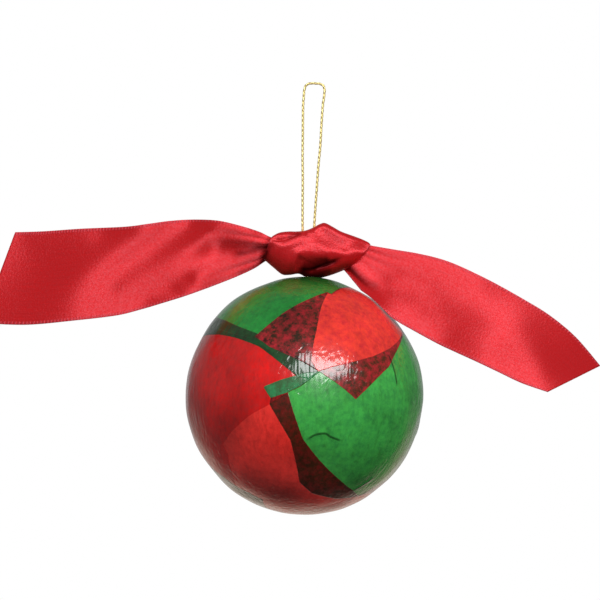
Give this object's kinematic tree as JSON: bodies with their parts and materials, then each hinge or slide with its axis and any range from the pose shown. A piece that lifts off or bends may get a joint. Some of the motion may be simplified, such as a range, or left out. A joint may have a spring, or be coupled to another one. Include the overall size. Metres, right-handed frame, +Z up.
{
  "type": "hanging ball ornament",
  "caption": "Round tissue-covered ball ornament under gloss varnish, with a wide satin ribbon knotted round its gold hanging cord.",
  "frame": {"origin": "underside of the top of the cord's loop, where a hook bears; the ball hangs plumb below it", "axes": "+Z up along the hanging line, +X to the viewer's right along the spread ribbon, +Y away from the front"},
  "size_m": [0.2642, 0.1, 0.1821],
  "materials": {
    "varnished_tissue": "overlapping red and green tissue paper under brushed gloss varnish",
    "gold_cord": "twisted metallic gold thread",
    "red_satin": "red polyester satin with woven edges"
  },
  "bodies": {
    "root": {"ball": "varnished_tissue", "hanging_cord": "gold_cord", "ribbon": "red_satin"}
  },
  "joints": []
}
